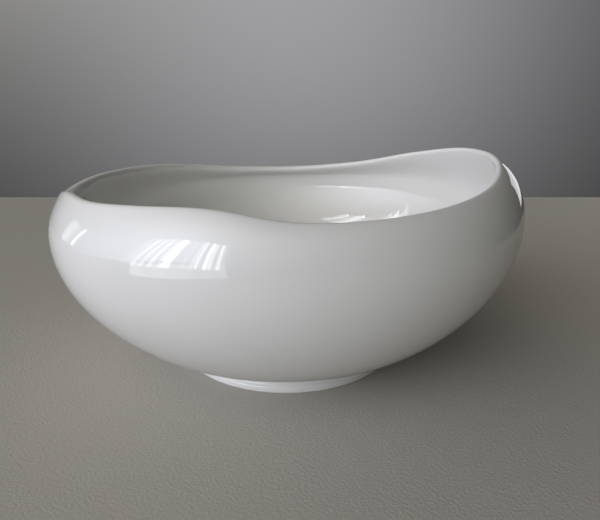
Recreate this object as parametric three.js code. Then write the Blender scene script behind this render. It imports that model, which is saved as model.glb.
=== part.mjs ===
// A white porcelain serving bowl with an in-turned shoulder and an undulating lip, on a low foot ring.
// Millimetres, +Z up. The origin is the middle of the foot on the surface that the bowl stands on.
// +X points to the high end of the lip, and bearings are degrees turned from +X towards +Y.
import * as THREE from "three";

// Body
const bellyRadius = 150; // widest part of the wall, measured along X
const bellyOval = 0.01; // share of that radius by which the belly swings out along X and in along Y
const bellyHeight = 95.8; // height of the widest part
const bellyTilt = 4.1; // the widest part rises this much at +X and drops as much at -X
const floorThickness = 9; // middle of the floor, glaze to glaze
const wallThickness = 6; // glaze to glaze
const lipThickness = { right: 3.8, left: 8 }; // fine at +X, and a fat roll at -X

// How far the wall's two curves reach along their end tangents, as shares of their width, height or length
const flankReach = { footOut: 0.457, footUp: 0.121, bellyDown: 0.473 };
const shoulderReach = { bellyUp: 0.418, lipDown: 0.287 };
const floorReach = { nearEdge: 0.13, nearAxis: 0.58 };

// The shoulder's lean where it meets the lip, in degrees above level: steep to the right, flat to the left
const shoulderLean = { mean: 48, swing: 15 };

// The lip's rounding turns this far from its outer face to its inner one, in degrees. Short of a half
// turn, the inner face leaves the lip steeply and the lip stays fat on the inside.
const lipTurn = 145;

// The lip's line round the bowl, point by point: bearing, radius and height. It lies half a wall
// thickness in from the shoulder's outer face and as much under the lip's crest.
const lipPoints = [
  { bearing: -174, radius: 141.7, height: 110.8 },
  { bearing: -156, radius: 136.5, height: 117.9 },
  { bearing: -138, radius: 135.2, height: 119.8 },
  { bearing: -121, radius: 135.5, height: 123.4 },
  { bearing: -104, radius: 136.2, height: 125.5 },
  { bearing: -86, radius: 136.5, height: 120.2 },
  { bearing: -62, radius: 136.2, height: 120.6 },
  { bearing: -36, radius: 134.2, height: 124.7 },
  { bearing: -10, radius: 130.9, height: 132.0 },
  { bearing: 16, radius: 130.1, height: 130.7 },
  { bearing: 40, radius: 130.2, height: 121.4 },
  { bearing: 64, radius: 131.1, height: 108.7 },
  { bearing: 88, radius: 133.3, height: 102.2 },
  { bearing: 112, radius: 136.3, height: 103.4 },
  { bearing: 138, radius: 139.6, height: 110.2 },
  { bearing: 162, radius: 142.2, height: 111.8 },
];

// Foot
const footHeight = 9; // resting plane to the underside of the body
const footTopRadius = 69.8;
const neck = { radius: 70.6, height: 5.2 }; // below it the foot steps out to a toe
const toe = { radius: 72, height: 3.7 };
const footBottomRadius = 72.3;
const footWidth = 6; // wall of the foot ring's top, glaze to glaze
const footEdgeRound = 0.6; // rounding of the two resting edges
const wipedHeight = 0.9; // glaze is wiped off the foot below this height
const beadSize = 2.2; // reach of the slip bead in each corner between foot and body
const beadTopShare = 0.037; // share of the flank's curve that the outer bead covers

// Glaze and the joints between neighbours
const glazeThickness = 0.4;
const seamGap = 0.3; // clear space kept between two solids that touch on the real bowl
const slipThickness = 0.6; // slip film between the foot's top and the body's underside

// Fineness of the surfaces
const columns = 64; // round the bowl
const flankSteps = 9;
const shoulderSteps = 5;
const floorSteps = 4;
const floorStartStep = 2; // the inside leaves the flank's curve at this step
const lipSteps = 6;
const beadSteps = 2;

const coatDepth = glazeThickness + seamGap; // from the glazed surface down to the porcelain
const slipTop = footHeight - seamGap;
const slipBottom = slipTop - slipThickness;
const footTop = slipBottom - seamGap;

const point = (radius, height) => new THREE.Vector2(radius, height);

// A smooth closed curve through the lip points, read at any bearing.
function lipAt(bearing) {
  const count = lipPoints.length;
  const at = (index) => {
    const turns = Math.floor(index / count);
    const found = lipPoints[index - turns * count];
    return { ...found, bearing: found.bearing + 360 * turns };
  };
  const first = lipPoints[0].bearing;
  const wrapped = first + ((((bearing - first) % 360) + 360) % 360);
  let index = 0;
  while (index < count - 1 && at(index + 1).bearing <= wrapped) index += 1;
  const [before, start, end, after] = [index - 1, index, index + 1, index + 2].map(at);
  const span = end.bearing - start.bearing;
  const t = (wrapped - start.bearing) / span;
  const blend = (key) => {
    const startSlope = (end[key] - before[key]) / (end.bearing - before.bearing);
    const endSlope = (after[key] - start[key]) / (after.bearing - start.bearing);
    const startValue = (2 * t ** 3 - 3 * t ** 2 + 1) * start[key];
    const startPull = (t ** 3 - 2 * t ** 2 + t) * span * startSlope;
    const endValue = (3 * t ** 2 - 2 * t ** 3) * end[key];
    const endPull = (t ** 3 - t ** 2) * span * endSlope;
    return startValue + startPull + endValue + endPull;
  };
  return point(blend("radius"), blend("height"));
}

// The flank: the outer wall from the foot's corner up to the belly.
function flankAt(angle) {
  const corner = point(footTopRadius, footHeight);
  const widest = bellyRadius * (1 - bellyOval + bellyOval * Math.cos(2 * angle));
  const belly = point(widest, bellyHeight + bellyTilt * Math.cos(angle));
  const width = belly.x - corner.x;
  const rise = belly.y - corner.y;
  return new THREE.CubicBezierCurve(
    corner,
    point(corner.x + flankReach.footOut * width, corner.y + flankReach.footUp * rise),
    point(belly.x, belly.y - flankReach.bellyDown * rise),
    belly,
  );
}

// Half the lip's thickness at a bearing: it stays fine to the right and swells round the left end.
function lipRoundAt(angle) {
  const leftShare = ((1 - Math.cos(angle)) / 2) ** 2;
  return (lipThickness.right + leftShare * (lipThickness.left - lipThickness.right)) / 2;
}

// The lip's rounding, outer face to inner one, about a middle that keeps its crest where the lip's line
// puts it. The lean is that of the shoulder at the lip.
function lipRounding(lip, lean, lipRound) {
  const taper = wallThickness / 2 - lipRound;
  const middle = point(lip.x + taper * Math.cos(lean), lip.y + taper);
  const sweep = THREE.MathUtils.degToRad(lipTurn);
  const turns = Array.from({ length: lipSteps + 1 }, (_, step) => lean + (sweep * step) / lipSteps);
  return turns.map((turn) =>
    point(middle.x + lipRound * Math.cos(turn), middle.y + lipRound * Math.sin(turn)),
  );
}

// The shoulder from the belly in and up to the lip: its outer face, or its inner one, where the lip's
// rounding ends. Down is the way that the face leaves the lip.
function shoulderAt(belly, end, down) {
  const length = belly.distanceTo(end);
  return new THREE.CubicBezierCurve(
    belly,
    point(belly.x, belly.y + shoulderReach.bellyUp * (end.y - belly.y)),
    end.clone().addScaledVector(down, shoulderReach.lipDown * length),
    end,
  );
}

// The same outline moved sideways into the material on its left. A point on the axis stays on it.
function moved(outline, depth) {
  const last = outline.length - 1;
  return outline.map((at, index) => {
    const before = outline[Math.max(index - 1, 0)];
    const after = outline[Math.min(index + 1, last)];
    const along = after.clone().sub(before).normalize();
    if (at.x === 0) return point(0, at.y + Math.sign(along.x) * depth);
    return point(at.x - along.y * depth, at.y + along.x * depth);
  });
}

// The wall of the body at a bearing, as its glazed surface runs: up the outside from the foot's corner,
// over the lip, down the inside and along the floor to the axis.
function wallAt(angle) {
  const lip = lipAt(THREE.MathUtils.radToDeg(angle));
  const lean = THREE.MathUtils.degToRad(shoulderLean.mean + shoulderLean.swing * Math.cos(angle));
  const flank = flankAt(angle).getPoints(flankSteps);
  const innerFlank = moved(flank, wallThickness);
  const overLip = lipRounding(lip, lean, lipRoundAt(angle));
  const innerLean = lean + THREE.MathUtils.degToRad(lipTurn);
  const outerDown = point(Math.sin(lean), -Math.cos(lean));
  const innerDown = point(-Math.sin(innerLean), Math.cos(innerLean));
  const outerShoulder = shoulderAt(flank[flankSteps], overLip[0], outerDown);
  const innerShoulder = shoulderAt(innerFlank[flankSteps], overLip[lipSteps], innerDown);
  const outside = [...flank, ...outerShoulder.getPoints(shoulderSteps).slice(1), ...overLip.slice(1)];
  const inside = innerShoulder.getPoints(shoulderSteps).reverse().slice(1);
  return [...outside, ...inside, ...floorFrom(innerFlank)];
}

// The inner flank below the belly, which leaves the outer one's curve low down and runs out along the
// floor to the axis.
function floorFrom(innerFlank) {
  const floorTop = footHeight + floorThickness;
  const edge = innerFlank[floorStartStep];
  const inward = innerFlank[floorStartStep - 1].clone().sub(edge).normalize();
  const middle = new THREE.CubicBezierCurve(
    edge,
    edge.clone().addScaledVector(inward, floorReach.nearEdge * edge.x),
    point(floorReach.nearAxis * edge.x, floorTop),
    point(0, floorTop),
  );
  const wall = innerFlank.slice(floorStartStep + 1, -1).reverse();
  return [...wall, ...middle.getPoints(floorSteps)];
}

// The foot's glazed outer wall, from the resting plane up.
const footProfile = [
  point(footBottomRadius, 0),
  point(toe.radius, toe.height),
  point(neck.radius, neck.height),
  point(footTopRadius, footHeight),
];

// A point of that wall at a height.
function footWall(height) {
  const above = footProfile.findIndex((at) => at.y > height);
  const [low, high] = [footProfile[above - 1], footProfile[above]];
  return low.clone().lerp(high, (height - low.y) / (high.y - low.y));
}

// The bead's hollow curve in a corner, from the foot's wall to the body, without its two ends.
function beadCurve(from, corner, to) {
  const curve = new THREE.QuadraticBezierCurve(from, corner, to);
  return curve.getPoints(beadSteps).slice(1, -1);
}

// Everything that the main glaze covers at a bearing, from the wiped edge to the middle of the floor.
function glazedOutline(angle) {
  const beadFoot = footWall(footHeight - beadSize);
  const [corner, ...wall] = wallAt(angle);
  const beadTop = flankAt(angle).getPoint(beadTopShare);
  const outerWall = [footWall(wipedHeight), footProfile[1], footProfile[2], beadFoot];
  return [...outerWall, ...beadCurve(beadFoot, corner, beadTop), beadTop, ...wall];
}

// A lathe whose outline changes with the bearing. The outline runs up on the outside, and starts and
// ends on the axis or closes on itself.
function changingLathe(outlineAt) {
  const geometry = new THREE.LatheGeometry(outlineAt(0), columns);
  const positions = geometry.attributes.position;
  const rows = positions.count / (columns + 1);
  for (let column = 0; column <= columns; column += 1) {
    const angle = (2 * Math.PI * (column % columns)) / columns;
    outlineAt(angle).forEach((at, row) => {
      const index = column * rows + row;
      positions.setXYZ(index, at.x * Math.cos(angle), at.x * Math.sin(angle), at.y);
    });
  }
  geometry.computeVertexNormals();
  return geometry;
}

const closed = (outline) => [...outline, outline[0].clone()];

// The porcelain shell: the wall without its glaze, closed by the flat underside.
function bodyOutline(angle) {
  const [corner, ...wall] = moved(wallAt(angle), coatDepth);
  return [point(0, footHeight), point(corner.x, footHeight), ...wall];
}

// The glaze over the outside, the lip and the inside: out along its hidden face, back along its outer one.
function mainGlazeOutline(angle) {
  const outline = glazedOutline(angle);
  return [...moved(outline, glazeThickness).reverse(), ...outline];
}

// The foot ring's section: an outer wall with a toe, a straight inner one and a rounded resting edge.
function footOutline() {
  const outer = (height) => footWall(height).x - coatDepth;
  const inner = footTopRadius - footWidth + coatDepth;
  return closed([
    point(inner, footEdgeRound),
    point(inner + footEdgeRound, 0),
    point(outer(0) - footEdgeRound, 0),
    point(outer(footEdgeRound), footEdgeRound),
    point(outer(toe.height), toe.height),
    point(outer(neck.height), neck.height),
    point(outer(footTop), footTop),
    point(inner, footTop),
  ]);
}

// The slip: a film between foot and body that swells into a bead outside and inside the foot's top.
function slipOutline() {
  const outer = (height) => footWall(height).x - coatDepth + seamGap;
  const inner = footTopRadius - footWidth + coatDepth - seamGap;
  const beadFoot = footHeight - beadSize + coatDepth;
  const beadReach = beadSize - coatDepth;
  return closed([
    point(inner, slipBottom),
    point(outer(slipBottom), slipBottom),
    point(outer(beadFoot), beadFoot),
    point(outer(slipTop) + beadReach / 3, slipTop - beadReach / 3),
    point(outer(slipTop) + beadReach / 2, slipTop),
    point(inner - beadReach, slipTop),
    point(inner - beadReach / 3, slipTop - beadReach / 3),
    point(inner, beadFoot),
  ]);
}

// The glaze inside the foot ring: along the underside, round the bead and down to the wiped edge.
function baseGlazeOutline() {
  const wall = footTopRadius - footWidth;
  const ceiling = footHeight - coatDepth;
  const beadStart = point(wall - beadSize, ceiling);
  const beadEnd = point(wall, ceiling - beadSize);
  const bead = beadCurve(beadStart, point(wall, ceiling), beadEnd);
  const exposed = [point(0, ceiling), beadStart, ...bead, beadEnd, point(wall, wipedHeight)];
  return [...exposed, ...moved(exposed, glazeThickness).reverse()];
}

// Materials
const finish = (colour, roughness) =>
  new THREE.MeshStandardMaterial({ color: colour, roughness, metalness: 0 });
const barePorcelain = () => finish(0xe9e6de, 0.75);
const clearGlaze = () => finish(0xf1f1ee, 0.08);

function piece(name, outlineAt, material) {
  const mesh = new THREE.Mesh(changingLathe(outlineAt), material);
  mesh.name = name;
  return mesh;
}

const bowl = new THREE.Group();
bowl.add(
  piece("bowl_body", bodyOutline, barePorcelain()),
  piece("foot_ring", footOutline, barePorcelain()),
  piece("luting_slip", slipOutline, barePorcelain()),
  piece("glaze_coat", mainGlazeOutline, clearGlaze()),
  piece("base_glaze", baseGlazeOutline, clearGlaze()),
);

export default bowl;
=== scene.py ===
import math
import bpy
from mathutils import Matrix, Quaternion, Vector


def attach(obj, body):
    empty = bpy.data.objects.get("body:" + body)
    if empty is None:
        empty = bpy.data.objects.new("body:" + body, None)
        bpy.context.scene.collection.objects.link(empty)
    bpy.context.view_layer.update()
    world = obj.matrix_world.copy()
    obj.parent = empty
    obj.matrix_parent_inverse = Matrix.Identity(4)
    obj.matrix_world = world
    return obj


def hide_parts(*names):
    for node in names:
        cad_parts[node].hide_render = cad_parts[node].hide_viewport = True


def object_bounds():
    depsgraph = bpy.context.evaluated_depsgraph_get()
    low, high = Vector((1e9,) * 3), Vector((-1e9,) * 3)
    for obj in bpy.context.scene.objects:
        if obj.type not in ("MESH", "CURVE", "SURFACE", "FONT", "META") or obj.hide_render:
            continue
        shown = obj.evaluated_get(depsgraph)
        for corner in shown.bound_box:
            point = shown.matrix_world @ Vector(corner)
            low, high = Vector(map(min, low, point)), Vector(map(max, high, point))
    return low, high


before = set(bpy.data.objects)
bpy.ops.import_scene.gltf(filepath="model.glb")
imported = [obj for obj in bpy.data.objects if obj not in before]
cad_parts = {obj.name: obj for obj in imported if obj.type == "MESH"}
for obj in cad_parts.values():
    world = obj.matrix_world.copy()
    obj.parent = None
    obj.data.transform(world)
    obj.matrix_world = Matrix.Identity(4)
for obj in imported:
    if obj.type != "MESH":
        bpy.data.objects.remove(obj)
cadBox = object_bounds()
print("packed bowl loaded")

mm = 0.001

# the wall's form, which the glaze coat and the body share, in millimetres and degrees
bowl = {
    "bellyOval": 0.01,       # the belly swings out along X and in along Y by this share
    "bellyHeight": 95.8,     # of the widest place
    "bellyTilt": 4.1,        # the belly rises this much towards the high end
    "footHeight": 9.0,
    "footRadius": 69.8,      # where the wall leaves the foot
    "footOut": 0.457,        # reach of the flank's curve out of the foot
    "footUp": 0.121,
    "bellyDown": 0.473,      # reach of the flank's curve into the belly
    "bellyUp": 0.418,        # reach of the shoulder's curve out of the belly
    "lipDown": 0.287,        # and into the lip
    "leanMean": 48.0,        # lean of the shoulder at the lip
    "leanSwing": 15.0,       # it leans this much more at the high end and less at the low one
    "lipTurn": 145.0,        # the lip's rounding turns this far, and the inner face leaves it steeply
    "wall": 6.0,
    "lipRight": 3.8,         # the lip is fine to the right and swells to a fat roll on the left
    "lipLeft": 8.0,
    "floorThickness": 9.0,
    "floorFrom": 0.25,       # share of the flank where the inside starts to ease on to the floor
    "floorNearEdge": 0.13,   # reach of the floor's curve at its edge
    "floorNearAxis": 0.58,   # the floor is all but level inside this share of its width
    "wander": 0.22,          # the surface strays this far in and out, as on any cast bowl
    "wanderWidth": 55.0,
    "wanderSeed": 7.0,
    "thinFade": 6,           # a high number keeps the thin glaze close to the lip
    "poolFade": 0.7,         # a low number lets the pooled glaze spread over the floor
    "columns": 224,          # points round the bowl
    "flankRows": 38, "shoulderRows": 26, "lipRows": 14, "floorRows": 26,
}

# the middle line of the lip's rounding: bearing, radius and height
lipPoints = [
    (-174, 141.7, 110.8), (-156, 136.5, 117.9), (-138, 135.2, 119.8), (-121, 135.5, 123.4),
    (-104, 136.2, 125.5), (-86, 136.5, 120.2), (-62, 136.2, 120.6), (-36, 134.2, 124.7),
    (-10, 130.9, 132.0), (16, 130.1, 130.7), (40, 130.2, 121.4), (64, 131.1, 108.7),
    (88, 133.3, 102.2), (112, 136.3, 103.4), (138, 139.6, 110.2), (162, 142.2, 111.8),
]
bellyRadius = (cadBox[1].x - cadBox[0].x) / 2 / mm
print("belly radius", round(bellyRadius, 2), "mm")


# a smooth closed curve through the lip points, read at any bearing
def lipAt(bearing):
    count = len(lipPoints)
    first = lipPoints[0][0]
    wrapped = first + (bearing - first) % 360
    index = max(i for i in range(count) if lipPoints[i][0] <= wrapped)

    def near(offset):
        turns, place = divmod(index + offset, count)
        found = lipPoints[place]
        return (found[0] + 360 * turns, found[1], found[2])

    before, start, end, after = near(-1), near(0), near(1), near(2)
    span = end[0] - start[0]
    t = (wrapped - start[0]) / span
    found = []
    for key in (1, 2):
        startSlope = (end[key] - before[key]) / (end[0] - before[0])
        endSlope = (after[key] - start[key]) / (after[0] - start[0])
        value = (2 * t**3 - 3 * t**2 + 1) * start[key] + (3 * t**2 - 2 * t**3) * end[key]
        value += (t**3 - 2 * t**2 + t) * span * startSlope + (t**3 - t**2) * span * endSlope
        found.append(value)
    return found


# the lip's middle line as a loop of points, one for each column of the bowl's surface
def lipGuide():
    columns = bowl["columns"]
    places = []
    for column in range(columns):
        bearing = 360 * column / columns
        radius, height = lipAt(bearing)
        turn = math.radians(bearing)
        places.append((radius * mm * math.cos(turn), radius * mm * math.sin(turn), height * mm))
    mesh = bpy.data.meshes.new("lipGuide")
    mesh.from_pydata(places, [(i, (i + 1) % columns) for i in range(columns)], [])
    guide = bpy.data.objects.new("lipGuide", mesh)
    bpy.context.scene.collection.objects.link(guide)
    guide.hide_render = True
    return guide


# a number that Geometry Nodes work out, so that a rule can be written as plain sums
class NodeSum:
    def __init__(self, tree, socket):
        self.tree = tree
        self.socket = socket

    def work(self, operation, *others):
        node = self.tree.nodes.new("ShaderNodeMath")
        node.operation = operation
        for place, value in enumerate((self, *others)):
            if isinstance(value, NodeSum):
                self.tree.links.new(value.socket, node.inputs[place])
            else:
                node.inputs[place].default_value = value
        return NodeSum(self.tree, node.outputs[0])

    def __add__(self, other):
        return self.work("ADD", other)

    def __sub__(self, other):
        return self.work("SUBTRACT", other)

    def __mul__(self, other):
        return self.work("MULTIPLY", other)

    def __truediv__(self, other):
        return self.work("DIVIDE", other)

    def __neg__(self):
        return self.work("MULTIPLY", -1.0)

    def __radd__(self, other):
        return self + other

    def __rsub__(self, other):
        return -self + other

    def __rmul__(self, other):
        return self * other

    def __rtruediv__(self, other):
        return self.work("POWER", -1.0) * other

    def cos(self):
        return self.work("COSINE")

    def sin(self):
        return self.work("SINE")

    def root(self):
        return self.work("SQRT")


# short ways to add nodes to a tree and link them
class NodeWork:
    def node(self, kind):
        return self.tree.nodes.new(kind)

    def link(self, output, entry):
        self.tree.links.new(output, entry)

    def apart(self, vector):
        node = self.node("ShaderNodeSeparateXYZ")
        self.link(vector, node.inputs[0])
        return [NodeSum(self.tree, output) for output in node.outputs]

    def together(self, *values):
        node = self.node("ShaderNodeCombineXYZ")
        for entry, value in zip(node.inputs, values):
            self.link(value.socket, entry)
        return node.outputs[0]


# a point of the bowl's outline: its distance from the axis and its height
class OutlinePoint:
    def __init__(self, radius, height):
        self.radius = radius
        self.height = height

    def __add__(self, other):
        return OutlinePoint(self.radius + other.radius, self.height + other.height)

    def __sub__(self, other):
        return OutlinePoint(self.radius - other.radius, self.height - other.height)

    def __mul__(self, factor):
        return OutlinePoint(self.radius * factor, self.height * factor)

    def length(self):
        return (self.radius * self.radius + self.height * self.height).root()


# a cubic curve through four outline points, and its direction
def curvePoint(ends, t):
    a, b, c, d = ends
    ab = a + (b - a) * t
    bc = b + (c - b) * t
    cd = c + (d - c) * t
    abc = ab + (bc - ab) * t
    bcd = bc + (cd - bc) * t
    return abc + (bcd - abc) * t


def curveDirection(ends, t):
    a, b, c, d = ends
    ab = b - a
    bc = c - b
    cd = d - c
    first = ab + (bc - ab) * t
    second = bc + (cd - bc) * t
    return first + (second - first) * t


# the point at a depth under a curve, on its left
def inwardPoint(ends, t, depth):
    along = curveDirection(ends, t)
    across = OutlinePoint(-along.height, along.radius)
    return curvePoint(ends, t) + across * (depth / along.length())


# where on a strip a rule is being worked out
class StripPlace:
    def __init__(self, column, angle):
        self.column = column
        self.angle = angle


# how strips become one skin
joining = {
    "weld": 0.01,            # points this close, in mm, are welded
    "wanderDetail": 1.5,
    "sharpAbove": 40,        # edges that turn more than this, in degrees, stay sharp
}


# a tree that makes a piece from strips: each strip is a grid whose columns go round the bowl and whose
# rows follow one curve of the outline, with the clay on the curve's left
class StripTree(NodeWork):
    def __init__(self, name, sizes):
        self.tree = bpy.data.node_groups.new(name, "GeometryNodeTree")
        sockets = self.tree.interface
        sockets.new_socket(name="Geometry", in_out="OUTPUT", socket_type="NodeSocketGeometry")
        kinds = {"Guide": "NodeSocketObject", "Columns": "NodeSocketInt", "Finish": "NodeSocketMaterial"}
        for size in sizes:
            kind = kinds.get(size, "NodeSocketFloat")
            sockets.new_socket(name=size, in_out="INPUT", socket_type=kind)
        source = self.node("NodeGroupInput")
        self.inputs = {size: source.outputs[size] for size in sizes}
        self.join = self.node("GeometryNodeJoinGeometry")

    def size(self, name):
        return NodeSum(self.tree, self.inputs[name])

    # adds what another tree makes, with the same sizes
    def include(self, group):
        node = self.node("GeometryNodeGroup")
        node.node_tree = group
        for item in group.interface.items_tree:
            if item.in_out == "INPUT":
                self.link(self.inputs[item.name], node.inputs[item.name])
        self.link(node.outputs[0], self.join.inputs[0])

    # the strips as they are, for another tree to include
    def loose(self):
        self.link(self.join.outputs[0], self.node("NodeGroupOutput").inputs[0])
        return self.tree

    # marks are named shares, such as how thin the glaze lies, kept on the points for the finish to read
    def strip(self, rows, rule, **marks):
        grid = self.node("GeometryNodeMeshGrid")
        grid.inputs["Size X"].default_value = 1
        grid.inputs["Size Y"].default_value = 1
        grid.inputs["Vertices Y"].default_value = rows + 1
        ends = self.size("Columns") + 1
        self.link(ends.socket, grid.inputs["Vertices X"])
        x, y = self.apart(self.node("GeometryNodeInputPosition").outputs[0])[:2]
        turnShare, t = x + 0.5, y + 0.5     # the grid lies between -0.5 and 0.5 both ways
        columns = self.size("Columns")
        column = (turnShare * columns).work("ROUND").work("MODULO", columns)
        angle = column / columns * (2 * math.pi)
        outline = rule(StripPlace(column, angle), t)
        made = grid.outputs["Mesh"]
        for mark, share in marks.items():
            store = self.node("GeometryNodeStoreNamedAttribute")
            store.inputs["Name"].default_value = mark
            self.link(made, store.inputs["Geometry"])
            self.link(share(t).socket, store.inputs["Value"])
            made = store.outputs[0]
        put = self.node("GeometryNodeSetPosition")
        point = self.together(outline.radius * angle.cos(), outline.radius * angle.sin(), outline.height)
        self.link(made, put.inputs["Geometry"])
        self.link(point, put.inputs["Position"])
        self.link(put.outputs[0], self.join.inputs[0])

    # a straight strip between two outline points
    def straight(self, rows, start, end):
        self.strip(rows, lambda place, t: start + (end - start) * t)

    # a hollow corner from one outline point to another
    def hollow(self, rows, start, corner, end):
        def rule(place, t):
            near = start + (corner - start) * t
            far = corner + (end - corner) * t
            return near + (far - near) * t

        self.strip(rows, rule)

    # strips one after another, each with its rows and where it leads: straight to a point, or by a corner
    def outline(self, start, *legs):
        for rows, *stops in legs:
            if len(stops) == 1:
                self.straight(rows, start, stops[0])
            else:
                self.hollow(rows, start, *stops)
            start = stops[-1]

    # welds the strips, lets the surface wander a little as handwork does, and gives it its finish
    def finished(self):
        weld = self.node("GeometryNodeMergeByDistance")
        weld.inputs["Distance"].default_value = joining["weld"] * mm
        self.link(self.join.outputs[0], weld.inputs[0])
        noise = self.node("ShaderNodeTexNoise")
        noise.noise_dimensions = "4D"
        noise.inputs["Detail"].default_value = joining["wanderDetail"]
        self.link(self.size("Wander seed").socket, noise.inputs["W"])
        self.link((1 / self.size("Wander width")).socket, noise.inputs["Scale"])
        away = (NodeSum(self.tree, noise.outputs[0]) - 0.5) * self.size("Wander")
        push = self.node("ShaderNodeVectorMath")
        push.operation = "SCALE"
        self.link(self.node("GeometryNodeInputNormal").outputs[0], push.inputs[0])
        self.link(away.socket, push.inputs["Scale"])
        wander = self.node("GeometryNodeSetPosition")
        self.link(weld.outputs[0], wander.inputs["Geometry"])
        self.link(push.outputs[0], wander.inputs["Offset"])
        smooth = self.node("GeometryNodeSetShadeSmooth")
        self.link(wander.outputs[0], smooth.inputs[0])
        realize = self.node("GeometryNodeRealizeInstances")
        self.link(smooth.outputs[0], realize.inputs[0])
        cover = self.node("GeometryNodeSetMaterial")
        self.link(realize.outputs[0], cover.inputs[0])
        self.link(self.inputs["Finish"], cover.inputs["Material"])
        self.link(cover.outputs[0], self.node("NodeGroupOutput").inputs[0])
        return self.tree


# the bowl's wall as rules for strips, at any depth under the glazed surface
class WallRules:
    def __init__(self, strips):
        self.strips = strips
        self.size = strips.size

    # the lip's middle line, read from the guide
    def lip(self, place):
        strips = self.strips
        guide = strips.node("GeometryNodeObjectInfo")
        strips.link(strips.inputs["Guide"], guide.inputs["Object"])
        sample = strips.node("GeometryNodeSampleIndex")
        sample.data_type = "FLOAT_VECTOR"
        strips.link(guide.outputs["Geometry"], sample.inputs["Geometry"])
        strips.link(strips.node("GeometryNodeInputPosition").outputs[0], sample.inputs["Value"])
        strips.link(place.column.socket, sample.inputs["Index"])
        x, y, z = strips.apart(sample.outputs["Value"])
        return OutlinePoint((x * x + y * y).root(), z)

    def lean(self, place):
        lean = self.size("Lean mean") + self.size("Lean swing") * place.angle.cos()
        return lean * math.radians(1)

    def flankEnds(self, place):
        size = self.size
        corner = OutlinePoint(size("Foot radius"), size("Foot height"))
        oval = size("Belly oval")
        radius = size("Belly radius") * (-oval + oval * (place.angle * 2).cos() + 1)
        belly = OutlinePoint(radius, size("Belly height") + size("Belly tilt") * place.angle.cos())
        width = belly.radius - corner.radius
        rise = belly.height - corner.height
        nearFoot = corner + OutlinePoint(size("Foot out") * width, size("Foot up") * rise)
        nearBelly = OutlinePoint(belly.radius, belly.height - size("Belly down") * rise)
        return (corner, nearFoot, nearBelly, belly)

    # a point of the lip's rounding at a share of its turn, and the way out from the lip's middle
    def onLip(self, place, share, depth):
        lean = self.lean(place)
        leftShare = ((1 - place.angle.cos()) * 0.5).work("POWER", 2)
        lip = self.size("Lip right") + (self.size("Lip left") - self.size("Lip right")) * leftShare
        taper = (self.size("Wall") - lip) * 0.5
        middle = self.lip(place) + OutlinePoint(lean.cos() * taper, taper)
        turn = lean + share * self.size("Lip turn")
        outward = OutlinePoint(turn.cos(), turn.sin())
        return outward, middle + outward * (lip * 0.5 - depth)

    # side is 1 for the outer face and -1 for the inner one
    def shoulderEnds(self, place, side):
        belly = self.flankEnds(place)[3]
        if side < 0:
            belly = OutlinePoint(belly.radius - self.size("Wall"), belly.height)
        outward, end = self.onLip(place, 0.0 if side > 0 else 1.0, 0.0)
        down = OutlinePoint(outward.height, -outward.radius) * side
        apart = end - belly
        nearBelly = OutlinePoint(belly.radius, belly.height + self.size("Belly up") * apart.height)
        nearLip = end + down * (self.size("Lip down") * apart.length())
        return (belly, nearBelly, nearLip, end)

    def flank(self, place, t):
        start = self.size("Flank from")
        return inwardPoint(self.flankEnds(place), start + (-start + 1) * t, self.size("Inset"))

    def shoulder(self, place, t):
        return inwardPoint(self.shoulderEnds(place, 1), t, self.size("Inset"))

    def overLip(self, place, t):
        return self.onLip(place, t, self.size("Inset"))[1]

    def innerShoulder(self, place, t):
        return inwardPoint(self.shoulderEnds(place, -1), -t + 1, -self.size("Inset"))

    def innerFlank(self, place, t):
        start = self.size("Floor from")
        depth = self.size("Wall") - self.size("Inset")
        return inwardPoint(self.flankEnds(place), -(t * (-start + 1)) + 1, depth)

    # the inside leaves the flank's curve low down and runs out level to the axis
    def floor(self, place, t):
        size = self.size
        start = size("Floor from")
        ends = self.flankEnds(place)
        edge = inwardPoint(ends, start, size("Wall"))
        along = curveDirection(ends, start)
        floorTop = size("Foot height") + size("Floor thickness")
        nearEdge = edge - along * (edge.radius * size("Floor near edge") / along.length())
        nearAxis = OutlinePoint(edge.radius * size("Floor near axis"), floorTop)
        axis = OutlinePoint(edge.radius * 0, floorTop)
        return inwardPoint((edge, nearEdge, nearAxis, axis), t, size("Inset"))

    # from the outer flank over the lip to the middle of the floor
    def addStrips(self):
        add = self.strips.strip
        flankRows, shoulderRows, thinFade = bowl["flankRows"], bowl["shoulderRows"], bowl["thinFade"]
        add(flankRows, self.flank)
        add(shoulderRows, self.shoulder, thinGlaze=lambda t: t.work("POWER", thinFade))
        add(bowl["lipRows"], self.overLip, thinGlaze=lambda t: t * 0 + 1)
        add(shoulderRows, self.innerShoulder, thinGlaze=lambda t: (-t + 1).work("POWER", thinFade))
        add(flankRows, self.innerFlank)
        add(bowl["floorRows"], self.floor, pooledGlaze=lambda t: t.work("POWER", bowl["poolFade"]))


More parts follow.
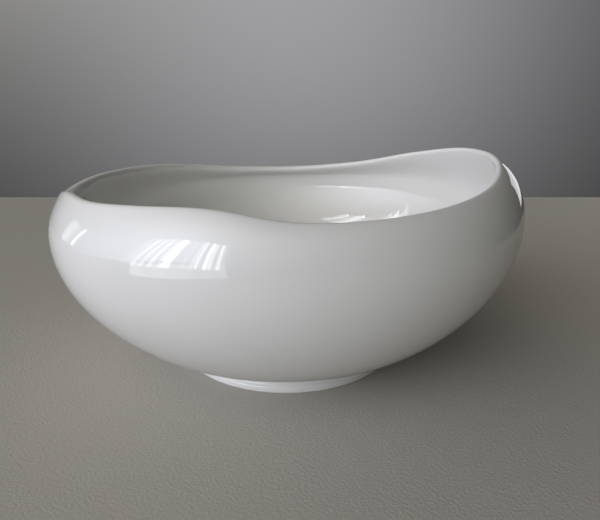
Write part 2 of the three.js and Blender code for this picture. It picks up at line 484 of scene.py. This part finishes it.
# runs a tree on an empty mesh with these sizes, gives the skin a thickness where one is asked for, and
# returns the result as a plain mesh object
def madeByNodes(name, tree, sizes, thickness=0.0):
    carrier = bpy.data.objects.new(name + "Carrier", bpy.data.meshes.new(name + "Carrier"))
    bpy.context.scene.collection.objects.link(carrier)
    modifier = carrier.modifiers.new("rule", "NODES")
    modifier.node_group = tree
    for item in tree.interface.items_tree:
        if item.item_type == "SOCKET" and item.in_out == "INPUT":
            modifier[item.identifier] = sizes[item.name]
    if thickness:
        skin = carrier.modifiers.new("skin", "SOLIDIFY")
        skin.thickness = thickness
        skin.offset = -1
    bpy.context.view_layer.update()
    evaluated = carrier.evaluated_get(bpy.context.evaluated_depsgraph_get())
    mesh = bpy.data.meshes.new_from_object(evaluated)
    mesh.name = name
    bpy.data.objects.remove(carrier)
    mesh.set_sharp_from_angle(angle=math.radians(joining["sharpAbove"]))
    piece = bpy.data.objects.new(name, mesh)
    bpy.context.scene.collection.objects.link(piece)
    print(name, len(mesh.vertices), "points", len(mesh.polygons), "faces")
    return piece


# a material, with the patterns that the finishes are made from
class Finish(NodeWork):
    def __init__(self, name):
        self.material = bpy.data.materials.new(name)
        self.material.use_nodes = True
        self.tree = self.material.node_tree
        self.shader = self.tree.nodes["Principled BSDF"]
        self.coordinates = self.node("ShaderNodeTexCoord").outputs["Object"]

    # a noise pattern is its width in metres, its detail and its seed
    def noise(self, pattern, vector=None):
        width, detail, seed = pattern
        noise = self.node("ShaderNodeTexNoise")
        noise.noise_dimensions = "4D"
        noise.inputs["Scale"].default_value = 1 / width
        noise.inputs["Detail"].default_value = detail
        noise.inputs["W"].default_value = seed
        self.link(vector or self.coordinates, noise.inputs["Vector"])
        return NodeSum(self.tree, noise.outputs[0])

    # a share kept on the piece's points, nought where the piece has none
    def mark(self, name):
        read = self.node("ShaderNodeAttribute")
        read.attribute_name = name
        return NodeSum(self.tree, read.outputs["Fac"])

    def mix(self, share, first, second):
        mix = self.node("ShaderNodeMix")
        mix.data_type = "RGBA"
        self.link(share.socket, mix.inputs[0])
        for value, entry in ((first, mix.inputs[6]), (second, mix.inputs[7])):     # the colour inputs
            if isinstance(value, tuple):
                entry.default_value = (*value, 1)
            else:
                self.link(value, entry)
        return mix.outputs[2]

    # a share that goes from 0 to 1 as a value goes from one level to another
    def between(self, value, low, high):
        step = self.node("ShaderNodeMapRange")
        step.interpolation_type = "SMOOTHSTEP"
        step.inputs["From Min"].default_value = low
        step.inputs["From Max"].default_value = high
        self.link(value.socket, step.inputs["Value"])
        return NodeSum(self.tree, step.outputs[0])

    # specks are the middles of some cells: the cells' width, the specks' radius, the share of cells and a seed
    def specks(self, pattern):
        width, radius, share, seed = pattern
        core = 0.4 * radius     # a speck is full inside this
        cells = self.node("ShaderNodeTexVoronoi")
        cells.voronoi_dimensions = "4D"
        cells.inputs["Scale"].default_value = 1 / width
        cells.inputs["W"].default_value = seed
        self.link(self.coordinates, cells.inputs["Vector"])
        distance = NodeSum(self.tree, cells.outputs["Distance"])
        near = self.between(distance, radius / width, core / width)
        apart = self.node("ShaderNodeSeparateColor")
        self.link(cells.outputs["Color"], apart.inputs[0])
        chosen = NodeSum(self.tree, apart.outputs[0]).work("LESS_THAN", share)
        return near * chosen

    # a vector that runs slowly round the axis and fast across it, for marks left by turning
    def roundAxis(self, speeds):
        slow, fast = speeds
        x, y, z = self.apart(self.coordinates)
        radius = (x * x + y * y).root() + 0.0001     # never nought, on the axis either
        return self.together(x / radius * slow, y / radius * slow, (radius + z) * fast)

    # bumps are pairs of a height pattern and its depth, laid one over another
    def bumps(self, *pairs):
        normal = None
        for pattern, depth in pairs:
            bump = self.node("ShaderNodeBump")
            bump.inputs["Distance"].default_value = depth
            self.link(pattern.socket, bump.inputs["Height"])
            if normal:
                self.link(normal, bump.inputs["Normal"])
            normal = bump.outputs[0]
        self.link(normal, self.shader.inputs["Normal"])

    def set(self, name, value):
        self.shader.inputs[name].default_value = value


# noise patterns are a width in metres, a detail and a seed; specks and pits are the cells' width, their
# own radius, the share of cells that have one and a seed; depths are in metres
glaze = {
    "white": (0.800, 0.800, 0.785),
    "whiteAway": (0.830, 0.832, 0.822),   # the tone wanders between these two
    "tone": (0.07, 3.0, 2.0),
    "thinTint": (0.805, 0.802, 0.788),    # over the lip the glaze is thin and the clay shows warm
    "thinPatches": (0.018, 2.0, 5.0),
    "thinShare": (0.1, 0.8),              # the least of the tint, and how much more where a patch is full
    "pooledTint": (0.765, 0.790, 0.795),  # where it pools it is a little cool
    "pooledShare": 0.6,
    "speckTint": (0.30, 0.24, 0.18),
    "specks": (0.016, 0.00028, 0.10, 3.0),
    "speckShare": 0.55,
    "roughness": 0.018,
    "roughnessAway": 0.03,
    "roughnessThin": 0.02,                # a little duller over the lip
    "dull": (0.03, 3.0, 8.0),
    "swell": (0.022, 1.0, 1.0),
    "swellDepth": 0.00003,
    "ripple": (0.0035, 1.0, 4.0),
    "rippleDepth": 0.0000008,
    "pits": (0.021, 0.00022, 0.12, 9.0),
    "pitDepth": 0.00005,
    "turning": (0.5, 1.0, 6.0),
    "turningSpeeds": (0.12, 190),         # of the pattern round the axis and across it
    "turningDepth": 0.00004,
    "index": 1.52,
}
blend = (0.3, 0.7)      # one tone passes into another between these levels of a pattern


# clear glaze over white porcelain; under the base the marks of turning show through it
def glazeFinish(name, turned):
    finish = Finish(name)
    colour = finish.mix(finish.between(finish.noise(glaze["tone"]), *blend), glaze["white"], glaze["whiteAway"])
    least, more = glaze["thinShare"]
    thin = finish.mark("thinGlaze")
    colour = finish.mix(thin * (finish.noise(glaze["thinPatches"]) * more + least), colour, glaze["thinTint"])
    colour = finish.mix(finish.mark("pooledGlaze") * glaze["pooledShare"], colour, glaze["pooledTint"])
    colour = finish.mix(finish.specks(glaze["specks"]) * glaze["speckShare"], colour, glaze["speckTint"])
    finish.link(colour, finish.shader.inputs["Base Color"])
    dull = finish.noise(glaze["dull"]) * glaze["roughnessAway"] + glaze["roughness"]
    finish.link((dull + thin * glaze["roughnessThin"]).socket, finish.shader.inputs["Roughness"])
    layers = [
        (finish.noise(glaze["swell"]), glaze["swellDepth"]),
        (finish.noise(glaze["ripple"]), glaze["rippleDepth"]),
        (finish.specks(glaze["pits"]) * -1, glaze["pitDepth"]),
    ]
    if turned:
        rings = finish.noise(glaze["turning"], finish.roundAxis(glaze["turningSpeeds"]))
        layers.append((rings, glaze["turningDepth"]))
    finish.bumps(*layers)
    finish.set("IOR", glaze["index"])
    return finish.material


porcelain = {
    "bare": (0.760, 0.745, 0.715),
    "bareAway": (0.800, 0.792, 0.772),
    "tone": (0.02, 4.0, 2.0),
    "dirtAndContactShade": (0.42, 0.39, 0.35),         # rubbed dirt and painted contact shadow on the resting edge
    "dirtAndContactShadeBelow": 0.0011,
    "dirtAndContactShadeShare": 0.7,
    "wornSmooth": 0.15,                 # the rubbed edge is this much less rough
    "dirtAndShadeSmears": (0.004, 4.0, 7.0),
    "dirtAndShadeSmearBlend": (0.25, 0.6),
    "specks": (0.006, 0.00018, 0.25, 3.0),
    "speckShare": 0.6,
    "roughness": 0.62,
    "roughnessAway": 0.25,
    "dull": (0.003, 3.0, 4.0),
    "grain": (0.0006, 3.0, 1.0),
    "grainDepth": 0.00006,
    "turning": (0.5, 1.0, 6.0),
    "turningSpeeds": (0.2, 500),
    "turningDepth": 0.00005,
}


# porcelain that the glaze doesn't cover: a fine dry grain, faint turning lines, a rubbed resting edge, and
# painted contact shadow along its lowest millimetre
def bareFinish():
    finish = Finish("barePorcelain")
    tone = finish.between(finish.noise(porcelain["tone"]), *blend)
    colour = finish.mix(tone, porcelain["bare"], porcelain["bareAway"])
    height = finish.apart(finish.coordinates)[2]
    low = finish.between(height, porcelain["dirtAndContactShadeBelow"], 0.0)
    dirtAndShadeSmears = finish.between(finish.noise(porcelain["dirtAndShadeSmears"]), *porcelain["dirtAndShadeSmearBlend"])
    # painted shade: below about a millimetre the bare foot is darkened in patches to stand for the contact
    # shadow under the resting edge, partly also rubbed dirt
    colour = finish.mix(low * dirtAndShadeSmears * porcelain["dirtAndContactShadeShare"], colour, porcelain["dirtAndContactShade"])
    specks = finish.specks(porcelain["specks"]) * porcelain["speckShare"]
    colour = finish.mix(specks, colour, glaze["speckTint"])
    finish.link(colour, finish.shader.inputs["Base Color"])
    rough = finish.noise(porcelain["dull"]) * porcelain["roughnessAway"] + porcelain["roughness"]
    rough = rough - low * dirtAndShadeSmears * porcelain["wornSmooth"]
    finish.link(rough.socket, finish.shader.inputs["Roughness"])
    lines = finish.noise(porcelain["turning"], finish.roundAxis(porcelain["turningSpeeds"]))
    grain = finish.noise(porcelain["grain"])
    finish.bumps((lines, porcelain["turningDepth"]), (grain, porcelain["grainDepth"]))
    return finish.material


slipClay = {
    "warm": (0.700, 0.655, 0.585),
    "warmAway": (0.760, 0.725, 0.665),
    "drag": (0.5, 3.0, 3.0),
    "dragSpeeds": (0.9, 900),
    "dragBlend": (0.35, 0.65),
    "dragDepth": 0.00008,
    "dull": (0.002, 3.0, 4.0),
}


# the luting slip: warmer than the porcelain, with the drag lines of the brush that put it on
def slipFinish():
    finish = Finish("firedSlip")
    drag = finish.noise(slipClay["drag"], finish.roundAxis(slipClay["dragSpeeds"]))
    colour = finish.mix(finish.between(drag, *slipClay["dragBlend"]), slipClay["warm"], slipClay["warmAway"])
    finish.link(colour, finish.shader.inputs["Base Color"])
    rough = finish.noise(slipClay["dull"]) * porcelain["roughnessAway"] + porcelain["roughness"]
    finish.link(rough.socket, finish.shader.inputs["Roughness"])
    grain = finish.noise(porcelain["grain"])
    finish.bumps((drag, slipClay["dragDepth"]), (grain, porcelain["grainDepth"]))
    return finish.material


guide = lipGuide()
clearGlaze = glazeFinish("clearGlaze", False)
clearGlazeBase = glazeFinish("clearGlazeBase", True)
barePorcelain = bareFinish()
firedSlip = slipFinish()
print("finishes made")

wallSizes = {
    "Guide": guide,
    "Columns": bowl["columns"],
    "Finish": clearGlaze,
    "Belly radius": bellyRadius * mm,
    "Belly oval": bowl["bellyOval"],
    "Belly height": bowl["bellyHeight"] * mm,
    "Belly tilt": bowl["bellyTilt"] * mm,
    "Foot height": bowl["footHeight"] * mm,
    "Foot radius": bowl["footRadius"] * mm,
    "Foot out": bowl["footOut"],
    "Foot up": bowl["footUp"],
    "Flank from": 0.0,
    "Belly down": bowl["bellyDown"],
    "Belly up": bowl["bellyUp"],
    "Lip down": bowl["lipDown"],
    "Lean mean": bowl["leanMean"],
    "Lean swing": bowl["leanSwing"],
    "Lip turn": math.radians(bowl["lipTurn"]),
    "Wall": bowl["wall"] * mm,
    "Lip right": bowl["lipRight"] * mm,
    "Lip left": bowl["lipLeft"] * mm,
    "Floor thickness": bowl["floorThickness"] * mm,
    "Floor from": bowl["floorFrom"],
    "Floor near edge": bowl["floorNearEdge"],
    "Floor near axis": bowl["floorNearAxis"],
    "Inset": 0.0,
    "Wander": bowl["wander"] * mm,
    "Wander width": bowl["wanderWidth"] * mm,
    "Wander seed": bowl["wanderSeed"],
}

# the foot's form and how the pieces lie on it, in millimetres
foot = {
    "profile": ((72.3, 0.0), (72.0, 3.7), (70.6, 5.2), (69.8, 9.0)),   # outer wall: toe, neck and top
    "width": 6.0,
    "wiped": 0.9,           # the glaze is wiped off below this height
    "wipedWander": 0.07,    # how far the wiped line strays
    "bead": 2.2,            # the slip's bead reaches this far in the corners
    "coat": 0.4,            # the glaze's thickness
    "seam": 0.3,            # left between pieces
    "slip": 0.6,            # the slip's thickness
}
under = foot["coat"] + foot["seam"]     # the clay lies this far under the glazed surface
innerWall = bowl["footRadius"] - foot["width"]
slipTop = bowl["footHeight"] - foot["seam"]
slipBottom = slipTop - foot["slip"]
ringTop = slipBottom - foot["seam"]


# the radius of the foot's glazed outer wall at a height
def footWall(height):
    profile = foot["profile"]
    above = next(i for i, (radius, level) in enumerate(profile) if level > height)
    (lowRadius, low), (highRadius, high) = profile[above - 1], profile[above]
    return lowRadius + (highRadius - lowRadius) * (height - low) / (high - low)


# an outline point given in mm
def at(radius, height):
    return OutlinePoint(radius * mm, height * mm)


# the wiped line strays as a sponge leaves it: a slow wave and two quick ones round the foot
def wipedLine(place, height):
    slowWave = (place.angle * 5 + 1).sin()
    waves = slowWave + (place.angle * 13 + 2).sin() * 0.7 + (place.angle * 31).sin() * 0.5
    return waves * (foot["wipedWander"] * mm) + height * mm


# the wall's strips, which both the glaze coat and the clay under it use
def wallTree():
    strips = StripTree("wallStrips", list(wallSizes))
    WallRules(strips).addStrips()
    return strips.loose()


wallStrips = wallTree()
print("wall rules made")


# the coat over the outside, the lip and the inside, in millimetres
coatForm = {
    "toeEdge": (0.05, -0.7),      # where the toe's rounded top edge starts, from its corner
    "toePull": (0.0, 0.35),       # what the edge's curve is drawn towards
    "neckPull": (0.1, -0.75),
    "neckEdge": (-0.02, 0.3),     # where the edge ends, from the neck's corner
    "beadCorner": 0.25,           # the bead's curve stays this far off the corner
    "beadReach": (0.7, 0.6),
    "flankFrom": 0.037,           # share of the flank that the bead takes
    "toeRows": 5, "edgeRows": 10, "neckRows": 2, "beadRows": 8,
}


# one skin from the wiped line to the middle of the floor
def glazeCoatTree():
    strips = StripTree("glazeCoatStrips", list(wallSizes))
    wall = WallRules(strips)
    beadFoot = bowl["footHeight"] - foot["bead"]
    top = at(footWall(beadFoot), beadFoot)
    toe, neck = at(*foot["profile"][1]), at(*foot["profile"][2])
    toeEdge, neckEdge = toe + at(*coatForm["toeEdge"]), neck + at(*coatForm["neckEdge"])
    edgeEnds = (toeEdge, toe + at(*coatForm["toePull"]), neck + at(*coatForm["neckPull"]), neckEdge)
    inset = coatForm["beadCorner"]
    corner = at(bowl["footRadius"] + inset, bowl["footHeight"] - inset)
    footReach, wallReach = coatForm["beadReach"]

    def toeRule(place, t):
        line = wipedLine(place, foot["wiped"])
        wiped = OutlinePoint(line * 0 + footWall(foot["wiped"]) * mm, line)
        return wiped + (toeEdge - wiped) * t

    def edgeRule(place, t):
        return curvePoint(edgeEnds, t)

    def beadRule(place, t):
        end = curvePoint(wall.flankEnds(place), wall.size("Flank from"))
        return curvePoint((top, top + (corner - top) * footReach, end + (corner - end) * wallReach, end), t)

    strips.strip(coatForm["toeRows"], toeRule)
    strips.strip(coatForm["edgeRows"], edgeRule)
    strips.straight(coatForm["neckRows"], neckEdge, top)
    strips.strip(coatForm["beadRows"], beadRule, pooledGlaze=lambda t: t * (-t + 1) * 4)
    strips.include(wallStrips)
    return strips.finished()


coatSizes = {**wallSizes, "Flank from": coatForm["flankFrom"]}
coat = madeByNodes("glazeCoat", glazeCoatTree(), coatSizes, foot["coat"] * mm)
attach(coat, "root")
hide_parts("glaze_coat")

bodyForm = {
    "undersideRows": 14,
    "skirtRows": 1,      # up from the underside's edge to the flank
}


# the porcelain shell under the glaze, closed by its flat underside
def bodyTree():
    strips = StripTree("bowlBodyStrips", list(wallSizes))
    wall = WallRules(strips)
    height = bowl["footHeight"] * mm

    def wallStart(place):
        return inwardPoint(wall.flankEnds(place), 0.0, wall.size("Inset"))

    def underside(place, t):
        start = wallStart(place)
        return OutlinePoint(start.radius * t, start.height * 0 + height)

    def skirt(place, t):
        start = wallStart(place)
        edge = OutlinePoint(start.radius, start.height * 0 + height)
        return edge + (start - edge) * t

    strips.strip(bodyForm["undersideRows"], underside)
    strips.strip(bodyForm["skirtRows"], skirt)
    strips.include(wallStrips)
    return strips.finished()


bodySizes = {**wallSizes, "Finish": barePorcelain, "Inset": under * mm, "Wander": 0.0}
body = madeByNodes("bowlBody", bodyTree(), bodySizes)
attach(body, "root")
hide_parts("bowl_body")
bpy.data.objects.remove(guide)

ringForm = {
    "edgeRound": 0.6,
    "proud": foot["seam"] / 2,    # how far the glaze stands proud of the bare edge
    "step": 0.2,                  # the clay steps in under the glaze this far below the wiped line
    "stepRise": 0.15,
    "wander": 0.06,
    "wanderWidth": 9,
    "wanderSeed": 3.0,
}
ringSizes = {
    "Columns": bowl["columns"],
    "Finish": barePorcelain,
    "Wander": ringForm["wander"] * mm,
    "Wander width": ringForm["wanderWidth"] * mm,
    "Wander seed": ringForm["wanderSeed"],
}


# the foot ring: under the glaze it steps in, and its bare resting edge is rounded on both sides
def footRingTree():
    strips = StripTree("footRingStrips", list(ringSizes))
    turn, proud = ringForm["edgeRound"], ringForm["proud"]
    step = foot["wiped"] - ringForm["step"]
    seat = step + ringForm["stepRise"]
    outer, inner = footWall(0) - proud, innerWall + proud
    seatOut = footWall(foot["wiped"]) - under
    seatIn = innerWall + under
    toe, neck = (at(footWall(level) - under, level) for radius, level in foot["profile"][1:3])
    strips.outline(
        at(outer - turn, 0),
        (6, at(outer, 0), at(footWall(turn) - proud, turn)),      # round the resting edge
        (1, at(footWall(step) - proud, step)),
        (2, at(seatOut, seat)),                                   # in under the glaze
        (6, toe),
        (4, neck),
        (5, at(footWall(ringTop) - under, ringTop)),
        (6, at(seatIn, ringTop)),                                 # across the top
        (8, at(seatIn, seat)),                                    # down the inside
        (2, at(inner, step)),
        (1, at(inner, turn)),
        (6, at(inner, 0), at(inner + turn, 0)),
        (8, at(outer - turn, 0)),
    )
    return strips.finished()


ring = madeByNodes("footRing", footRingTree(), ringSizes)
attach(ring, "root")
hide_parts("foot_ring")

slipForm = {
    "outerSag": 0.4,      # the bead's corners sag this far below the slip's top
    "innerSag": 0.3,
    "wander": 0.12,
    "wanderWidth": 4,
    "wanderSeed": 5.0,
}


# the slip: a film between foot and body that swells into a hollow bead on both sides
def lutingSlipTree():
    strips = StripTree("lutingSlipStrips", list(ringSizes))
    reach = foot["bead"] - under
    beadFoot = bowl["footHeight"] - foot["bead"] + under
    outer = footWall(slipTop) - under + foot["seam"]
    outerFoot = footWall(beadFoot) - under + foot["seam"]
    inner = innerWall + under - foot["seam"]
    strips.outline(
        at(inner, slipBottom),
        (4, at(outer, slipBottom)),
        (1, at(outerFoot, beadFoot)),
        (6, at(outer, slipTop - slipForm["outerSag"]), at(outer + reach / 2, slipTop)),
        (8, at(inner - reach, slipTop)),
        (6, at(inner, slipTop - slipForm["innerSag"]), at(inner, beadFoot)),
        (1, at(inner, slipBottom)),
    )
    return strips.finished()


slipSizes = {
    **ringSizes,
    "Finish": firedSlip,
    "Wander": slipForm["wander"] * mm,
    "Wander width": slipForm["wanderWidth"] * mm,
    "Wander seed": slipForm["wanderSeed"],
}
slip = madeByNodes("lutingSlip", lutingSlipTree(), slipSizes)
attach(slip, "root")
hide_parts("luting_slip")

baseForm = {
    "wander": 0.16,
    "wanderWidth": 30,
    "ceilingRows": 30, "beadRows": 8, "wallRows": 6,
}


# the patch of glaze inside the foot: along the underside, round the bead and down to the wiped line
def baseGlazeTree():
    strips = StripTree("baseGlazeStrips", list(ringSizes))
    ceiling = bowl["footHeight"] - under
    beadStart = at(innerWall - foot["bead"], ceiling)
    corner = at(innerWall, ceiling)
    beadEnd = at(innerWall, ceiling - foot["bead"])

    def wallRule(place, t):
        wiped = OutlinePoint(innerWall * mm, wipedLine(place, foot["wiped"]))
        return beadEnd + (wiped - beadEnd) * t

    strips.outline(
        at(0, ceiling),
        (baseForm["ceilingRows"], beadStart),
        (baseForm["beadRows"], corner, beadEnd),
    )
    strips.strip(baseForm["wallRows"], wallRule)
    return strips.finished()


baseSizes = {
    **ringSizes,
    "Finish": clearGlazeBase,
    "Wander": baseForm["wander"] * mm,
    "Wander width": baseForm["wanderWidth"] * mm,
}
base = madeByNodes("baseGlaze", baseGlazeTree(), baseSizes, foot["coat"] * mm)
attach(base, "root")
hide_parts("base_glaze")

stage = {
    "left": -0.95, "right": 0.62, "front": -0.8, "back": 0.5,   # edges of the table top, in metres
    "thickness": 0.03,
    "edgeRound": 0.004,
    "edgeSteps": 3,
    "colour": (0.50, 0.483, 0.443),
    "darker": 0.96,               # the grain's dark parts have this share of the colour
    "grain": (0.0016, 3.0, 1.0),
    "grainDepth": 0.0003,
    "roughness": 0.85,
    "gloss": 0.15,
}


# a plain pale table top
def tableTop():
    mesh = bpy.data.meshes.new("tableTop")
    corners = [(x, y, z) for z in (-stage["thickness"], 0) for y in (stage["front"], stage["back"])
               for x in (stage["left"], stage["right"])]
    sides = [(0, 2, 3, 1), (4, 5, 7, 6), (0, 1, 5, 4), (1, 3, 7, 5), (3, 2, 6, 7), (2, 0, 4, 6)]
    mesh.from_pydata(corners, [], sides)
    top = bpy.data.objects.new("tableTop", mesh)
    bpy.context.scene.collection.objects.link(top)
    edge = top.modifiers.new("edge", "BEVEL")
    edge.width = stage["edgeRound"]
    edge.segments = stage["edgeSteps"]
    finish = Finish("tablePaint")
    grain = finish.noise(stage["grain"])
    darker = tuple(share * stage["darker"] for share in stage["colour"])
    colour = finish.mix(finish.between(grain, *blend), stage["colour"], darker)
    finish.link(colour, finish.shader.inputs["Base Color"])
    finish.bumps((grain, stage["grainDepth"]))
    finish.set("Roughness", stage["roughness"])
    finish.set("Specular IOR Level", stage["gloss"])
    mesh.materials.append(finish.material)


tableTop()
print("pieces and table made")

# the camera stands in front of the bowl and looks down on it a little: millimetres and degrees
view = {
    "across": 8.3,
    "back": 393.2,
    "height": 189.4,
    "down": 17.99,
    "lens": 36.0,
    "sensor": 36.0,
    "nearest": 10,       # nothing nearer than this shows
}
lens = bpy.data.cameras.new("camera")
lens.lens = view["lens"]
lens.sensor_width = view["sensor"]
lens.clip_start = view["nearest"] * mm
camera = bpy.data.objects.new("camera", lens)
camera.location = (view["across"] * mm, -view["back"] * mm, view["height"] * mm)
camera.rotation_euler = (math.radians(90 - view["down"]), 0, 0)
bpy.context.scene.collection.objects.link(camera)
bpy.context.scene.camera = camera

# the room's soft light: broad glows round the bowl, each with its bearing and height in degrees and its colour
glows = [
    (180, 8, (0.39, 0.42, 0.43)),
    (-157, 8, (1.45, 1.51, 1.77)),
    (-135, 8, (2.08, 2.21, 2.62)),
    (90, 8, (0.338, 0.337, 0.350)),
    (-157, 30, (0.21, 0.09, 0.0)),
    (-112, 30, (1.49, 1.46, 1.26)),
    (135, 35, (0.67, 0.65, 0.57)),
]
glowSharpness = 9.0      # a high number makes each glow smaller


# which way a bearing and a height point
def towards(bearing, height):
    turn, rise = math.radians(bearing), math.radians(height)
    return Vector((math.cos(turn) * math.cos(rise), math.sin(turn) * math.cos(rise), math.sin(rise)))


def softRoom():
    world = bpy.data.worlds.new("room")
    bpy.context.scene.world = world
    world.use_nodes = True
    tree = world.node_tree
    place = tree.nodes.new("ShaderNodeTexCoord").outputs["Generated"]
    background = tree.nodes["Background"]
    total = None
    for bearing, height, colour in glows:
        facing = tree.nodes.new("ShaderNodeVectorMath")
        facing.operation = "DOT_PRODUCT"
        facing.inputs[1].default_value = towards(bearing, height)
        tree.links.new(place, facing.inputs[0])
        share = NodeSum(tree, facing.outputs["Value"]).work("MAXIMUM", 0.0).work("POWER", glowSharpness)
        tint = tree.nodes.new("ShaderNodeVectorMath")
        tint.operation = "SCALE"
        tint.inputs[0].default_value = colour
        tree.links.new(share.socket, tint.inputs["Scale"])
        if total is None:
            total = tint.outputs[0]
        else:
            add = tree.nodes.new("ShaderNodeVectorMath")
            tree.links.new(total, add.inputs[0])
            tree.links.new(tint.outputs[0], add.inputs[1])
            total = add.outputs[0]
    tree.links.new(total, background.inputs[0])


softRoom()
bpy.context.scene.view_settings.view_transform = "Standard"

# window panes that show only as gloss. Each is a row of curtain strips, seen from a point on the bowl in mm:
# the row's bearing and height in degrees, its distance, width and tallness in metres, how widely it shines,
# how far the row is turned, how the strips slant at its left and right ends, and how bright each strip is
paneTint = (0.93, 0.96, 1.0)
panes = {
    "windowLeft": {
        "from": (-48, -138, 105), "bearing": -137, "height": 2.6, "distance": 0.34, "spread": 180,
        "width": 0.345, "tall": 0.17, "turned": 0, "slants": (-32, -10),
        "shades": (1.1, 1.2, 1.4, 3.6, 1.2, 3.8, 1.3, 4.6, 1.4, 4.2, 8.5, 7.0,
                   1.6, 1.4, 2.2, 1.4, 3.8, 5.5, 1.6, 8.5, 5.5, 1.6, 6.5, 1.5),
    },
    "windowSill": {
        "from": (-48, -138, 105), "bearing": -137, "height": -12.5, "distance": 0.34, "spread": 180,
        "width": 0.33, "tall": 0.06, "turned": 0, "slants": (0, 0),
        "shades": (2.6, 2.3, 2.7, 2.4, 2.6, 2.2, 2.3, 2.1),
    },
    "windowFarLeft": {
        "from": (-97, -100, 110), "bearing": 157, "height": 2.4, "distance": 0.6, "spread": 180,
        "width": 0.16, "tall": 0.15, "turned": 0, "slants": (-8, -20),
        "shades": (0.9, 1.2, 1.0, 0.5, 0.4, 3.0, 0.6),
    },
    "windowInside": {
        "from": (63.2, 117.3, 61.1), "bearing": -152, "height": 36.8, "distance": 0.03, "spread": 110,
        "width": 0.0385, "tall": 0.02, "turned": 30, "slants": (-75, -75),
        "shades": (1.5, 3.5, 0.8, 2.6, 3.6, 0.8, 0.4, 0.4, 2.2, 3.2, 1.6),
    },
    "windowBehind": {
        "from": (132, -45, 127), "bearing": 56, "height": 1, "distance": 1.0, "spread": 180,
        "width": 0.25, "tall": 0.25, "turned": 0, "slants": (0, 0), "shades": (1.3,),
    },
}


def windowPane(name, values):
    start = Vector(values["from"]) * mm
    away = towards(values["bearing"], values["height"])
    middle = start + away * values["distance"]
    facing = (-away).to_track_quat("-Z", "Y") @ Quaternion((0, 0, 1), math.radians(values["turned"]))
    across = facing @ Vector((1, 0, 0))
    shades = values["shades"]
    apart = values["width"] / len(shades)
    for index, shade in enumerate(shades):
        share = (index + 0.5) / len(shades)
        slant = math.radians(values["slants"][0] * (1 - share) + values["slants"][1] * share)
        data = bpy.data.lights.new(name, "AREA")
        data.shape = "RECTANGLE"
        data.size = apart * math.cos(slant)
        data.size_y = values["tall"]
        data.spread = math.radians(values["spread"])
        data.energy = shade * data.size * data.size_y * math.pi
        data.color = paneTint
        lamp = bpy.data.objects.new(name, data)
        lamp.location = middle + across * ((share - 0.5) * values["width"])
        lamp.rotation_euler = (facing @ Quaternion((0, 0, 1), slant)).to_euler()
        lamp.visible_diffuse = False
        lamp.visible_camera = False
        bpy.context.scene.collection.objects.link(lamp)


for name, values in panes.items():
    windowPane(name, values)
print("camera and light made")
